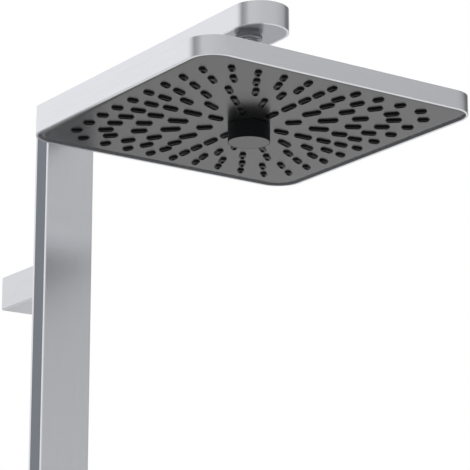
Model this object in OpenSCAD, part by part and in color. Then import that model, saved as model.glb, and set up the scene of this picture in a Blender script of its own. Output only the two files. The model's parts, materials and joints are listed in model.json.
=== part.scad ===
// Shower column with a flat arm and a square overhead spray head.
// Origin: wall plane, middle of the upper wall bracket. +X right, +Y into the wall, +Z up.

/* [Installation] */
// Wall to the back of the column
wall_gap = 67.4; // [60:0.2:90]
// Wall to the middle of the spray head
head_reach = 412.5; // [405:0.5:480]
// Middle of the upper bracket to the underside of the arm
arm_height = 166; // [120:1:250]
// Underside of the arm to the foot of the column
column_length = 1000; // [950:5:1200]
// Upper bracket to lower bracket, middle to middle
bracket_spacing = 700; // [500:5:760]
// Underside of the arm to the lower rim of the head
head_drop = 85.2; // [83:0.2:110]

/* [Column] */
// Width of the flat bar that column and arm share
bar_w = 54.4; // [53.6:0.2:64]
// Thickness of the column with both covers
column_t = 26.1; // [25.6:0.1:31]
// Thickness of the bright front and rear covers
cover_t = 3.6; // [2.6:0.2:3.8]
// Wall of the dark column profile
profile_wall = 2.2; // [1.6:0.2:2.4]
// Outside diameter of the water tubes
tube_d = 12; // [10:0.5:12.5]
// Wall of the water tubes
tube_wall = 1; // [0.8:0.1:1.5]
// Thickness of the foot cap
foot_cap_t = 6; // [5:0.5:10]

/* [Arm] */
// Height of the flat arm
bar_t = 22.5; // [22:0.5:28]
// Wall and top of the arm tray
arm_wall = 2.5; // [2:0.1:2.8]
// Plate that closes the underside of the arm
arm_plate_t = 2.5; // [2:0.1:3]
// Middle of the spray head to the middle of the arm's round end
nose_offset = 17.5; // [14:0.5:25]

/* [Wall brackets] */
// Width of a bracket
bracket_w = 50.4; // [44:0.2:52]
// Height of a bracket
bracket_h = 35.6; // [32:0.2:50]
// Wall of a bracket
bracket_wall = 3; // [2.5:0.1:4]
// Distance between the two wall screws of a bracket
wall_screw_pitch = 28; // [20:1:30]
// Hole for a wall screw
wall_screw_hole_d = 5.5; // [4.5:0.1:6.5]

/* [Neck and ball joint] */
// Outside diameter of the pipe thread under the arm
pipe_thread_d = 20.96; // [20.6:0.02:21.2]
// Outside diameter of the collar under the arm
collar_d = 25.2; // [23:0.2:32]
// Height of the collar
collar_h = 2.2; // [1.6:0.1:4]
// Width across the flats of the union nut
nut_flats = 27; // [26:0.5:32]
// Diameter of the ball
ball_d = 25; // [24:0.5:26]
// Diameter of the stem that carries the ball
stem_d = 14; // [12:0.5:14.5]
// Height of the ball's middle above the top of the head
ball_rise = 18; // [17.5:0.25:22]

/* [Spray head] */
// Side of the square head
head_side = 300; // [298:2:330]
// Outer corner radius of the head
head_corner_r = 28; // [24:0.5:31]
// Corner radius of the opening that holds the spray plate
face_corner_r = 22.5; // [21.5:0.5:27]
// Height of the head's metal housing
head_t = 17.6; // [17.2:0.1:22]
// Rim of the housing round the spray face
head_rim = 3; // [2.6:0.1:3.4]
// Top skin of the housing
head_top_t = 1.8; // [1.2:0.1:2]
// How far the spray face lies above the rim
face_set = 1.4; // [0.8:0.1:1.8]
// Thickness of the spray plate
plate_t = 3; // [2.6:0.1:3.4]
// Width of the soft slope round the spray face
slope_w = 7; // [5:0.5:8]
// Rise of that slope at its outer edge
slope_rise = 1.8; // [1:0.1:2.2]
// Diameter of the selector knob
knob_d = 38.9; // [37.5:0.1:42]
// Height of the selector knob
knob_h = 16.5; // [14:0.1:20]

/* [Nozzles] */
// Width of a nozzle pad
pad_w = 6.4; // [6:0.1:7]
// Width of the raised nozzle lip on a pad
lip_w = 5; // [4:0.1:5.4]
// Height of a pad above the spray face
pad_h = 1.2; // [0.6:0.1:1.5]
// Height of the nozzle lip above the spray face
lip_h = 2.4; // [1.8:0.1:2.8]
// Diameter of a nozzle hole
nozzle_d = 1.3; // [0.8:0.1:1.6]
// Gap between a pad and its window in the spray plate
pad_gap = 0.25; // [0.1:0.05:0.35]
// Thickness of the nozzle mat's sheet
mat_t = 1.5; // [1:0.1:1.8]

/* [Hidden] */
$fn = 64;

// Colours as the photo shows them
bright_metal = [0.72, 0.72, 0.74];
dark_metal = [0.30, 0.31, 0.33];
face_grey = [0.36, 0.37, 0.38];
soft_black = [0.06, 0.07, 0.07];
brass = [0.72, 0.58, 0.32];
white_plastic = [0.86, 0.86, 0.84];
ceramic = [0.90, 0.88, 0.82];

// Clearances and overruns
overrun = 1;
slip = 0.05;
fit_gap = 0.1;
loose_gap = 0.3;
ball_gap = 0.15;

// Places of the column
column_back_y = -wall_gap;
column_front_y = -(wall_gap + column_t);
profile_back_y = column_back_y - cover_t;
cover_back_y = column_front_y + cover_t;
channel_back_y = profile_back_y - profile_wall;
channel_depth = channel_back_y - cover_back_y;
tube_y = (channel_back_y + cover_back_y) / 2;
tube_r = tube_d / 2;
foot_z = arm_height - column_length;
profile_z = foot_z + foot_cap_t;
profile_l = arm_height - profile_z;

// Screw ports of the column profile
port_hole_r = 1.75;
port_r = 4;
port_x = bar_w / 2 - profile_wall - 6.3 * port_r / 4;
port_y = channel_back_y - 1.25 * port_r;
port_rib_w = 0.8 * port_r;

// Snap legs of the front cover
leg_t = 1.4;
leg_l = 6;
leg_x = bar_w / 2 - profile_wall - fit_gap - leg_t / 2;
snap_r = 0.5;
snap_gap = 0.1;
cover_edge = 0.5;

// Screws, by nominal diameter
m4_r = 2;
m4_tap_r = 1.75;
m4_clear_r = 2.2;
m4_head_r = 3.5;
m4_head_h = 2.2;
m3_r = 1.5;
m3_tap_r = 1.25;
m3_clear_r = 1.7;
m3_head_r = 2.8;
m3_head_h = 1.7;
m25_r = 1.25;
m25_tap_r = 1.05;
m25_clear_r = 1.4;
m25_head_r = 2.3;
m25_head_h = 1.6;
drive_share = 0.45;
drive_depth_share = 0.6;

// Seals of the water tubes
seal_d = 1.2;
seal_groove_w = 1.7;
riser_insert = 9;
arm_insert = 14;
water_r = tube_r - tube_wall;

// Corner block between riser and arm tube
block_w = bar_w - 2 * arm_wall - 2 * loose_gap;
block_back_y = column_back_y - arm_wall - fit_gap;
block_nose_l = 13;
block_front_y = column_front_y - block_nose_l;
block_top_z = arm_height + bar_t - arm_wall - fit_gap;
arm_mid_z = arm_height + bar_t / 2;
block_ledge_h = 6;
rear_screw_x = 11.5;
rear_screw_z = arm_height + 0.66 * bar_t;
rear_screw_l = 9;

// Arm
nose_y = -(head_reach + nose_offset);
nose_r = bar_w / 2;
plate_screw_x = bar_w / 2 - arm_wall - m3_head_r - 2 * overrun;
plate_screw_y = column_front_y - 28;
boss_r = 3.6;

// Outlet body inside the arm's nose
outlet_w = 30;
outlet_front = 15;
outlet_back = 17;
outlet_bore_r = 7;
ear_w = 12;
ear_t = 4;
ear_x = bar_w / 2 - arm_wall - 5.5;
ear_top_z = arm_height + bar_t - arm_wall - 6;
nipple_l = 17;
pipe_thread_r = pipe_thread_d / 2;

// Union nut, washer and ball stem
nut_gap = 4.3;
washer_t = 2;
flange_t = 3;
nut_floor_t = 3;
nut_top_z = arm_height - collar_h - nut_gap;
washer_top_z = arm_height - nipple_l;
flange_top_z = washer_top_z - washer_t;
nut_bottom_z = flange_top_z - flange_t - nut_floor_t;
stem_bore_r = 4.5;
regulator_h = 4;

// Head, from the rim upwards
rim_z = arm_height - head_drop;
head_top_z = rim_z + head_t;
face_z = rim_z + face_set;
plate_top_z = face_z + plate_t;
mat_top_z = plate_top_z + mat_t;
housing_inner_z = head_top_z - head_top_t;
socket_flange_t = 2.4;
tray_top_z = housing_inner_z - socket_flange_t;
tray_skin_t = 2.2;
tray_roof_z = tray_top_z - tray_skin_t;
ball_z = head_top_z + ball_rise;
inner_side = head_side - 2 * head_rim;
inner_corner_r = face_corner_r;
rim_edge = 0.4;

// Ball joint: ball, two liners and the socket are shells about one middle
ball_r = ball_d / 2;
liner_t = 1.85;
liner_in_r = ball_r + ball_gap;
liner_out_r = liner_in_r + liner_t;
cavity_r = liner_out_r + ball_gap;
liner_low = 4;
liner_high = 9.5;
socket_wall = 4.85;
thread_r = cavity_r + socket_wall;
nut_wall = 4;
bell_r = thread_r + slip + nut_wall;
skirt_l = 9;
bell_h = 13;
bell_dome_r = bell_r + 2.2;
bell_dome_drop = 2.2;
lip_angle = 50;
flute_count = 12;
flute_r = 3;
socket_flange_r = 31;
socket_bore_r = 7;
socket_screw_count = 4;
socket_screw_ring_r = 27;
socket_seal_r = 14;
socket_seal_d = 1;

// Water tray above the nozzle mat
tray_side = inner_side - 8;
tray_corner_r = inner_corner_r - 4;
tray_wall = 9.5;
zone_wall = 2;
zone_share = 0.64;
duct_wall = 1.6;
duct_w = 6;
duct_angle = 101;
hub_r = 18;
hub_wall = 2;
hub_gate_w = 4;
plenum_r = 12.5;
tray_screw_reach = tray_side / 2 - 6;
tray_screw_spots_share = [-0.8, -0.27, 0.27, 0.8];
mat_side = tray_side;
mat_boss_r = 2.6;

// Selector
knob_r = knob_d / 2;
knob_gap = 0.3;
knob_top_z = face_z - knob_gap;
knob_wall = 2.4;
knob_hub_r = 7;
knob_hub_h = 7;
end_disc_t = 2.2;
end_disc_rim = 0.4;
spindle_r = 4;
spindle_clear = 0.06;
spindle_hub_r = 8;
disc_t = 1.5;
disc_r = 15.3;
disc_gap = 0.1;
disc_port_r = 2.6;
disc_port_ring_r = 9.2;
disc_port_count = 4;
fin_w = 1.6;
fin_reach = 1.6;
glide_t = 1.2;
glide_r = 14;

// Nozzle rings, as shares of half the head's side: reach of a ring from the middle, step
// between neighbours along a side, draw-in of the end pads, place on the diagonal, pad length
ring_reach_shares = [0.838, 0.708, 0.572, 0.413, 0.245];
ring_step_shares = [0.1727, 0.145, 0.168, 0.179, 0];
ring_bow_shares = [0.0307, 0.0413, 0.028, 0.0127, 0];
ring_diagonal_shares = [0, 0, 0.485, 0.345, 0.195];
ring_length_shares = [0.0767, 0.1, 0.1067, 0.1307, 0.1067];
ring_side_counts = [4, 4, 2, 1, 0];
head_half = head_side / 2;

function ring_pads(i) = [
    for (k = [-ring_side_counts[i]:ring_side_counts[i]])
        [
            k * ring_step_shares[i] * head_half,
            ring_reach_shares[i] * head_half
                - ring_bow_shares[i] * head_half * pow(abs(k) / max(ring_side_counts[i], 1), 3)
        ]
];

// Puts its children at every pad of ring i, x along the ray from the middle of the head
module at_ring_pads(i) {
    for (side = [0:3])
        rotate(90 * side) {
            for (p = ring_pads(i))
                translate(p)
                    rotate(atan2(p[1], p[0]))
                        children();
            if (ring_diagonal_shares[i] > 0)
                translate([1, 1] * ring_diagonal_shares[i] * head_half)
                    rotate(45)
                        children();
        }
}

module stadium(l, w) {
    square([l - w, w], center = true);
    for (s = [-1, 1])
        translate([s * (l - w) / 2, 0])
            circle(d = w);
}

module rounded_rect(w, h, r) {
    square([w - 2 * r, h], center = true);
    square([w, h - 2 * r], center = true);
    for (sx = [-1, 1], sy = [-1, 1])
        translate([sx * (w / 2 - r), sy * (h / 2 - r)])
            circle(r);
}

// Sweeps a section round a rounded square; the section's x runs outwards from the corner's centre
module sweep_round_square(side, r) {
    for (quarter = [0:3])
        rotate(90 * quarter) {
            translate([side / 2 - r, side / 2 - r])
                rotate_extrude(angle = 90)
                    children();
            translate([side / 2 - r, 0])
                rotate([90, 0, 0])
                    linear_extrude(side - 2 * r, center = true)
                        children();
        }
}

module tube(r_out, r_in, h) {
    difference() {
        cylinder(r = r_out, h = h);
        translate([0, 0, -overrun])
            cylinder(r = r_in, h = h + 2 * overrun);
    }
}

module o_ring(inner_r, section_d) {
    rotate_extrude()
        translate([inner_r + section_d / 2, 0])
            circle(d = section_d, $fn = 32);
}

// Pan-head screw, head upwards from z = 0, shank downwards
module pan_screw(r, head_r, head_h, l) {
    difference() {
        union() {
            translate([0, 0, -l])
                cylinder(r = r, h = l + head_h / 2);
            cylinder(r1 = head_r, r2 = 0.8 * head_r, h = head_h);
        }
        translate([0, 0, head_h * (1 - drive_depth_share)])
            cylinder(r = drive_share * head_r, h = head_h, $fn = 6);
    }
}

// Countersunk screw, flat head's top at z = 0, shank downwards
module flat_screw(r, head_r, head_h, l) {
    difference() {
        union() {
            translate([0, 0, -l])
                cylinder(r = r, h = l - head_h / 2);
            translate([0, 0, -head_h])
                cylinder(r1 = r, r2 = head_r, h = head_h);
        }
        translate([0, 0, -head_h * drive_depth_share])
            cylinder(r = drive_share * head_r, h = head_h, $fn = 6);
    }
}

// Hole for a countersunk screw, from z = 0 downwards
module flat_screw_hole(clear_r, head_r, head_h, l) {
    translate([0, 0, -l])
        cylinder(r = clear_r, h = l + overrun);
    translate([0, 0, -head_h])
        cylinder(r1 = clear_r, r2 = head_r + fit_gap, h = head_h);
    cylinder(r = head_r + fit_gap, h = overrun);
}

// Column

module profile_section() {
    half_w = bar_w / 2;
    depth = column_t - 2 * cover_t;
    difference() {
        union() {
            difference() {
                translate([-half_w, -depth])
                    square([bar_w, depth]);
                translate([-half_w + profile_wall, -depth - overrun])
                    square([bar_w - 2 * profile_wall, depth - profile_wall + overrun]);
            }
            for (s = [-1, 1]) {
                translate([s * port_x, port_y - profile_back_y])
                    circle(port_r);
                translate([s * port_x - port_rib_w / 2, port_y - profile_back_y])
                    square([port_rib_w, profile_back_y - port_y - profile_wall / 2]);
            }
        }
        for (s = [-1, 1]) {
            translate([s * port_x, port_y - profile_back_y])
                circle(port_hole_r);
            translate([s * (half_w - profile_wall), -depth + leg_l - 2 * snap_r])
                circle(snap_r + snap_gap, $fn = 32);
        }
    }
}

module column_profile() {
    color(dark_metal)
        difference() {
            translate([0, profile_back_y, profile_z])
                linear_extrude(profile_l)
                    profile_section();
            bracket_screw_holes();
        }
}

// Holes for the bracket screws through the profile's back and the rear cover
module bracket_screw_holes() {
    for (z = [0, -bracket_spacing], s = [-1, 1])
        translate([s * rear_screw_x, column_back_y + overrun, z])
            rotate([90, 0, 0])
                cylinder(r = m4_clear_r, h = cover_t + profile_wall + 2 * overrun);
}

module column_rear_cover() {
    half_w = bar_w / 2;
    color(bright_metal)
        difference() {
            translate([0, profile_back_y, profile_z])
                linear_extrude(profile_l)
                    polygon([
                        [-half_w, 0], [half_w, 0], [half_w, cover_t - cover_edge],
                        [half_w - cover_edge, cover_t], [-half_w + cover_edge, cover_t],
                        [-half_w, cover_t - cover_edge]
                    ]);
            bracket_screw_holes();
        }
}

module column_front_cover() {
    half_w = bar_w / 2;
    color(bright_metal)
        translate([0, column_front_y, profile_z])
            linear_extrude(profile_l) {
                polygon([
                    [-half_w + cover_edge, 0], [half_w - cover_edge, 0],
                    [half_w, cover_edge], [half_w, cover_t],
                    [-half_w, cover_t], [-half_w, cover_edge]
                ]);
                for (s = [-1, 1]) {
                    translate([s * leg_x - leg_t / 2, cover_t - fit_gap])
                        square([leg_t, leg_l + fit_gap]);
                    translate([s * (leg_x + leg_t / 2), cover_t + leg_l - 2 * snap_r])
                        circle(snap_r, $fn = 32);
                }
            }
}

riser_bottom_z = foot_z + foot_cap_t + 6;
riser_top_z = arm_height + riser_insert;

module riser_tube() {
    color(brass)
        translate([0, tube_y, riser_bottom_z])
            tube(tube_r, water_r, riser_top_z - riser_bottom_z);
}

clip_h = 12;
clip_place_shares = [0.15, 0.38, 0.62, 0.85];

module riser_clips() {
    clip_w = 2 * (port_x - port_r - fit_gap);
    clip_depth = channel_depth - 2 * fit_gap;
    color(white_plastic)
        for (share = clip_place_shares)
            translate([0, tube_y, -share * bracket_spacing])
                linear_extrude(clip_h)
                    difference() {
                        square([clip_w, clip_depth], center = true);
                        circle(tube_r + slip);
                        for (s = [-1, 1])
                            translate([s * clip_w / 2, 0])
                                circle(clip_depth / 4);
                    }
}

inlet_thread_r = 8.33;
inlet_thread_l = 14;
inlet_neck_r = 7.8;
inlet_neck_l = 1;
inlet_bore_r = 5.5;
inlet_flange_w = 28;
inlet_flange_t = 3;
inlet_body_h = 15;
inlet_body_w = 22;
filter_t = 2;
filter_r = inlet_bore_r + 0.6;
inlet_body_depth = channel_depth - 2 * loose_gap;

module foot_cap() {
    color(bright_metal)
        difference() {
            translate([-bar_w / 2, column_front_y, foot_z])
                cube([bar_w, column_t, foot_cap_t]);
            translate([0, tube_y, foot_z - overrun])
                cylinder(r = inlet_thread_r + fit_gap, h = foot_cap_t + 2 * overrun);
            for (s = [-1, 1])
                translate([s * port_x, port_y, foot_z])
                    rotate([180, 0, 0])
                        flat_screw_hole(m4_clear_r, m4_head_r, m4_head_h, foot_cap_t + overrun);
        }
}

module foot_screws() {
    color(bright_metal)
        for (s = [-1, 1])
            translate([s * port_x, port_y, foot_z])
                rotate([180, 0, 0])
                    flat_screw(port_hole_r, m4_head_r, m4_head_h, foot_cap_t + 12);
}

module foot_inlet() {
    body_z = profile_z;
    color(brass)
        difference() {
            union() {
                translate([0, tube_y, foot_z - inlet_thread_l])
                    cylinder(r = inlet_thread_r, h = inlet_thread_l - inlet_neck_l);
                translate([0, tube_y, foot_z - 2 * inlet_neck_l])
                    cylinder(r = inlet_neck_r, h = 2 * inlet_neck_l + foot_cap_t + overrun);
                translate([-inlet_flange_w / 2, tube_y - inlet_body_depth / 2, body_z])
                    cube([inlet_flange_w, inlet_body_depth, inlet_flange_t]);
                translate([-inlet_body_w / 2, tube_y - inlet_body_depth / 2, body_z])
                    cube([inlet_body_w, inlet_body_depth, inlet_body_h]);
            }
            translate([0, tube_y, 0]) {
                translate([0, 0, foot_z - inlet_thread_l - overrun])
                    cylinder(r = inlet_bore_r, h = inlet_thread_l + profile_l);
                translate([0, 0, foot_z - inlet_thread_l - overrun])
                    cylinder(r = filter_r + slip, h = filter_t + overrun + fit_gap);
                translate([0, 0, riser_bottom_z - slip])
                    cylinder(r = tube_r + slip, h = profile_l);
                translate([0, 0, riser_bottom_z + 3])
                    cylinder(r = tube_r + seal_d, h = seal_groove_w);
            }
        }
}

module foot_o_ring() {
    color(soft_black)
        translate([0, tube_y, riser_bottom_z + 3 + seal_groove_w / 2])
            o_ring(tube_r, seal_d);
}

module inlet_filter() {
    hole_r = 0.5;
    ring_holes = 8;
    color(white_plastic)
        translate([0, tube_y, foot_z - inlet_thread_l])
            difference() {
                cylinder(r = filter_r, h = filter_t);
                for (ring = [1:3], i = [0:ring_holes - 1])
                    rotate(360 * (i + ring / 2) / ring_holes)
                        translate([ring * filter_r / 4, 0, -overrun])
                            cylinder(r = hole_r, h = filter_t + 2 * overrun);
            }
}

// Corner between column and arm

module corner_block() {
    nose_bottom_z = arm_height + arm_plate_t + fit_gap;
    color(brass)
        difference() {
            union() {
                translate([-block_w / 2, column_front_y + fit_gap, arm_height])
                    cube([block_w, block_back_y - column_front_y - fit_gap, block_top_z - arm_height]);
                translate([-block_w / 2, block_front_y, nose_bottom_z])
                    cube([block_w, block_nose_l + 2 * fit_gap, block_top_z - nose_bottom_z]);
            }
            translate([0, tube_y, 0]) {
                translate([0, 0, arm_height - overrun])
                    cylinder(r = tube_r + slip, h = riser_insert + overrun + slip);
                translate([0, 0, arm_height])
                    cylinder(r = water_r, h = bar_t / 2);
                translate([0, 0, arm_height + 3])
                    cylinder(r = tube_r + seal_d, h = seal_groove_w);
            }
            translate([0, block_front_y, arm_mid_z])
                rotate([-90, 0, 0]) {
                    translate([0, 0, -overrun])
                        cylinder(r = tube_r + slip, h = arm_insert + overrun + slip);
                    cylinder(r = water_r, h = tube_y - block_front_y);
                    translate([0, 0, 3])
                        cylinder(r = tube_r + seal_d, h = seal_groove_w);
                }
            for (s = [-1, 1]) {
                translate([s * port_x, port_y, arm_height - overrun])
                    cylinder(r = m4_clear_r, h = bar_t);
                translate([s * port_x, port_y, arm_height + block_ledge_h])
                    cylinder(r = m4_head_r + fit_gap, h = bar_t);
                translate([s * rear_screw_x, block_back_y + overrun, rear_screw_z])
                    rotate([90, 0, 0])
                        cylinder(r = m4_r, h = rear_screw_l + overrun);
            }
        }
}

module corner_o_rings() {
    color(soft_black) {
        translate([0, tube_y, arm_height + 3 + seal_groove_w / 2])
            o_ring(tube_r, seal_d);
        translate([0, block_front_y + 3 + seal_groove_w / 2, arm_mid_z])
            rotate([90, 0, 0])
                o_ring(tube_r, seal_d);
    }
}

module corner_screws() {
    color(bright_metal)
        for (s = [-1, 1])
            translate([s * port_x, port_y, arm_height + block_ledge_h])
                pan_screw(port_hole_r, m4_head_r, m4_head_h, block_ledge_h + 14);
}

// Arm

module arm_outline(inset) {
    half_w = bar_w / 2 - inset;
    translate([0, nose_y])
        circle(half_w);
    translate([-half_w, nose_y])
        square([2 * half_w, column_back_y - inset - nose_y]);
}

module arm_tray() {
    roof_z = arm_height + bar_t - arm_wall;
    color(bright_metal)
        difference() {
            union() {
                difference() {
                    translate([0, 0, arm_height])
                        linear_extrude(bar_t)
                            arm_outline(0);
                    translate([0, 0, arm_height - overrun])
                        linear_extrude(bar_t - arm_wall + overrun)
                            arm_outline(arm_wall);
                }
                for (s = [-1, 1]) {
                    translate([s * plate_screw_x, plate_screw_y, arm_height + arm_plate_t])
                        cylinder(r = boss_r, h = bar_t - arm_plate_t - arm_wall / 2);
                    translate([s * ear_x, -head_reach, ear_top_z])
                        cylinder(r = boss_r, h = roof_z - ear_top_z + arm_wall / 2);
                }
            }
            for (s = [-1, 1]) {
                translate([s * plate_screw_x, plate_screw_y, arm_height])
                    cylinder(r = m3_r, h = bar_t - arm_wall);
                translate([s * ear_x, -head_reach, ear_top_z - overrun])
                    cylinder(r = m3_r, h = roof_z - ear_top_z + overrun);
                translate([s * rear_screw_x, column_back_y, rear_screw_z])
                    rotate([-90, 0, 0])
                        flat_screw_hole(m4_clear_r, m4_head_r, m4_head_h, arm_wall + overrun);
            }
        }
}

module arm_underside_plate() {
    half_w = bar_w / 2 - arm_wall - fit_gap;
    color(bright_metal)
        difference() {
            translate([0, 0, arm_height])
                linear_extrude(arm_plate_t) {
                    translate([0, nose_y])
                        circle(half_w);
                    translate([-half_w, nose_y])
                        square([2 * half_w, column_front_y - fit_gap - nose_y]);
                }
            translate([0, -head_reach, arm_height - overrun])
                cylinder(r = pipe_thread_r + fit_gap, h = arm_plate_t + 2 * overrun);
            for (s = [-1, 1])
                translate([s * plate_screw_x, plate_screw_y, arm_height])
                    rotate([180, 0, 0])
                        flat_screw_hole(m3_clear_r, m3_head_r, m3_head_h, arm_plate_t + overrun);
        }
}

module arm_plate_screws() {
    color(bright_metal)
        for (s = [-1, 1])
            translate([s * plate_screw_x, plate_screw_y, arm_height])
                rotate([180, 0, 0])
                    flat_screw(m3_r, m3_head_r, m3_head_h, bar_t - 3 * arm_wall);
}

module arm_rear_screws() {
    color(bright_metal)
        for (s = [-1, 1])
            translate([s * rear_screw_x, column_back_y, rear_screw_z])
                rotate([-90, 0, 0])
                    flat_screw(m4_r, m4_head_r, m4_head_h, arm_wall + rear_screw_l - overrun);
}

outlet_seat = 10;

module arm_water_tube() {
    start_y = block_front_y + arm_insert;
    end_y = -head_reach + outlet_back - outlet_seat;
    color(brass)
        translate([0, start_y, arm_mid_z])
            rotate([90, 0, 0])
                tube(tube_r, water_r, start_y - end_y);
}

module outlet_body() {
    base_z = arm_height + arm_plate_t;
    top_z = arm_height + bar_t - arm_wall - loose_gap;
    color(brass)
        translate([0, -head_reach, 0])
            difference() {
                union() {
                    translate([-outlet_w / 2, -outlet_front, base_z])
                        cube([outlet_w, outlet_front + outlet_back, top_z - base_z]);
                    for (s = [-1, 1])
                        translate([s * ear_x, 0, ear_top_z - ear_t])
                            cylinder(r = boss_r, h = ear_t);
                    translate([-ear_x, -boss_r, ear_top_z - ear_t])
                        cube([2 * ear_x, 2 * boss_r, ear_t]);
                    translate([0, 0, arm_height - nipple_l])
                        cylinder(r = pipe_thread_r, h = nipple_l + arm_plate_t + overrun);
                }
                translate([0, 0, arm_height - nipple_l - overrun])
                    cylinder(r = outlet_bore_r, h = nipple_l + bar_t / 2 + overrun);
                translate([0, outlet_back, arm_mid_z])
                    rotate([90, 0, 0]) {
                        translate([0, 0, -overrun])
                            cylinder(r = tube_r + slip, h = outlet_seat + overrun + slip);
                        cylinder(r = water_r, h = outlet_back);
                        translate([0, 0, 3])
                            cylinder(r = tube_r + seal_d, h = seal_groove_w);
                    }
                for (s = [-1, 1])
                    translate([s * ear_x, 0, ear_top_z - ear_t - overrun])
                        cylinder(r = m3_clear_r, h = ear_t + 2 * overrun);
            }
}

module outlet_o_ring() {
    color(soft_black)
        translate([0, -head_reach + outlet_back - 3 - seal_groove_w / 2, arm_mid_z])
            rotate([90, 0, 0])
                o_ring(tube_r, seal_d);
}

module outlet_screws() {
    color(bright_metal)
        for (s = [-1, 1])
            translate([s * ear_x, -head_reach, ear_top_z - ear_t])
                rotate([180, 0, 0])
                    pan_screw(m3_r, m3_head_r, m3_head_h, ear_t + 5);
}

// Neck

collar_edge = 0.5;

module outlet_collar() {
    color(bright_metal)
        translate([0, -head_reach, arm_height - collar_h])
            rotate_extrude()
                polygon([
                    [pipe_thread_r + slip, 0], [collar_d / 2 - collar_edge, 0],
                    [collar_d / 2, collar_edge], [collar_d / 2, collar_h],
                    [pipe_thread_r + slip, collar_h]
                ]);
}

nut_hex_h = 11;
nut_edge = 1.6;

module union_nut() {
    nut_h = nut_top_z - nut_bottom_z;
    across_corners_r = nut_flats / 2 / cos(30);
    sleeve_r = nut_flats / 2 - 0.2;
    color(bright_metal)
        translate([0, -head_reach, nut_bottom_z])
            difference() {
                union() {
                    intersection() {
                        cylinder(r = across_corners_r, h = nut_hex_h, $fn = 6);
                        rotate_extrude()
                            polygon([
                                [0, 0], [across_corners_r - nut_edge, 0],
                                [across_corners_r, nut_edge],
                                [across_corners_r, nut_hex_h - nut_edge],
                                [across_corners_r - nut_edge, nut_hex_h], [0, nut_hex_h]
                            ]);
                    }
                    rotate_extrude()
                        polygon([
                            [0, nut_hex_h / 2], [sleeve_r, nut_hex_h / 2],
                            [sleeve_r, nut_h - collar_edge],
                            [sleeve_r - collar_edge, nut_h], [0, nut_h]
                        ]);
                }
                translate([0, 0, nut_floor_t])
                    cylinder(r = pipe_thread_r + slip, h = nut_h);
                translate([0, 0, -overrun])
                    cylinder(r = stem_d / 2 + fit_gap, h = nut_h);
            }
}

module union_washer() {
    color(soft_black)
        translate([0, -head_reach, washer_top_z - washer_t])
            tube(pipe_thread_r - fit_gap, outlet_bore_r + fit_gap, washer_t);
}

module ball_stem() {
    stem_top_z = flange_top_z - flange_t;
    color(bright_metal)
        translate([0, -head_reach, 0])
            difference() {
                union() {
                    translate([0, 0, ball_z])
                        sphere(ball_r);
                    translate([0, 0, ball_z])
                        cylinder(r = stem_d / 2, h = stem_top_z - ball_z + overrun);
                    translate([0, 0, stem_top_z])
                        cylinder(r = pipe_thread_r - fit_gap, h = flange_t);
                }
                translate([0, 0, ball_z - ball_r - overrun])
                    cylinder(r = stem_bore_r, h = flange_top_z - ball_z + ball_r + 2 * overrun);
                translate([0, 0, flange_top_z - regulator_h])
                    cylinder(r = stem_bore_r + 1, h = regulator_h + overrun);
            }
}

module flow_regulator() {
    jets = 6;
    color(white_plastic)
        translate([0, -head_reach, flange_top_z - regulator_h])
            difference() {
                cylinder(r = stem_bore_r + 1 - slip, h = regulator_h);
                for (i = [0:jets - 1])
                    rotate(360 * i / jets)
                        translate([stem_bore_r / 2, 0, -overrun])
                            cylinder(r = stem_bore_r / 6, h = regulator_h + 2 * overrun);
            }
}

// Wall brackets

bracket_edge_r = 2;
bracket_front_t = 5;
wall_plate_t = 6;
set_screw_l = 5;

module bracket_body(z) {
    color(bright_metal)
        translate([0, 0, z])
            difference() {
                rotate([90, 0, 0])
                    linear_extrude(wall_gap)
                        rounded_rect(bracket_w, bracket_h, bracket_edge_r);
                translate([
                    -bracket_w / 2 + bracket_wall,
                    -wall_gap + bracket_front_t,
                    -bracket_h / 2 + bracket_wall
                ])
                    cube([
                        bracket_w - 2 * bracket_wall, wall_gap,
                        bracket_h - 2 * bracket_wall
                    ]);
                for (s = [-1, 1])
                    translate([s * rear_screw_x, -wall_gap + bracket_front_t + overrun, 0])
                        rotate([90, 0, 0])
                            cylinder(r = m4_r, h = bracket_front_t + 2 * overrun);
                translate([bracket_w / 2 - bracket_wall - overrun, -wall_plate_t / 2, 0])
                    rotate([0, 90, 0])
                        cylinder(r = m3_r, h = bracket_wall + 2 * overrun);
            }
}

module upper_bracket() {
    bracket_body(0);
}

module lower_bracket() {
    bracket_body(-bracket_spacing);
}

module wall_plate(z) {
    plate_w = bracket_w - 2 * bracket_wall - 2 * loose_gap;
    plate_h = bracket_h - 2 * bracket_wall - 2 * loose_gap;
    color(bright_metal)
        translate([0, 0, z])
            difference() {
                rotate([90, 0, 0])
                    linear_extrude(wall_plate_t)
                        rounded_rect(plate_w, plate_h, bracket_edge_r);
                for (s = [-1, 1])
                    translate([s * wall_screw_pitch / 2, overrun, 0])
                        rotate([90, 0, 0])
                            cylinder(d = wall_screw_hole_d, h = wall_plate_t + 2 * overrun);
            }
}

module upper_wall_plate() {
    wall_plate(0);
}

module lower_wall_plate() {
    wall_plate(-bracket_spacing);
}

module bracket_column_screws() {
    color(bright_metal)
        for (z = [0, -bracket_spacing], s = [-1, 1])
            translate([s * rear_screw_x, channel_back_y, z])
                rotate([90, 0, 0])
                    pan_screw(m4_r, m4_head_r, m4_head_h, profile_wall + cover_t + bracket_front_t);
}

module bracket_set_screws() {
    tip_x = bracket_w / 2 - bracket_wall - loose_gap;
    color(bright_metal)
        for (z = [0, -bracket_spacing])
            translate([tip_x, -wall_plate_t / 2, z])
                rotate([0, 90, 0])
                    difference() {
                        cylinder(r = m3_r, h = bracket_wall);
                        translate([0, 0, bracket_wall * drive_depth_share])
                            cylinder(r = drive_share * m3_r, h = bracket_wall, $fn = 6);
                    }
}

// Ball joint

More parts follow.
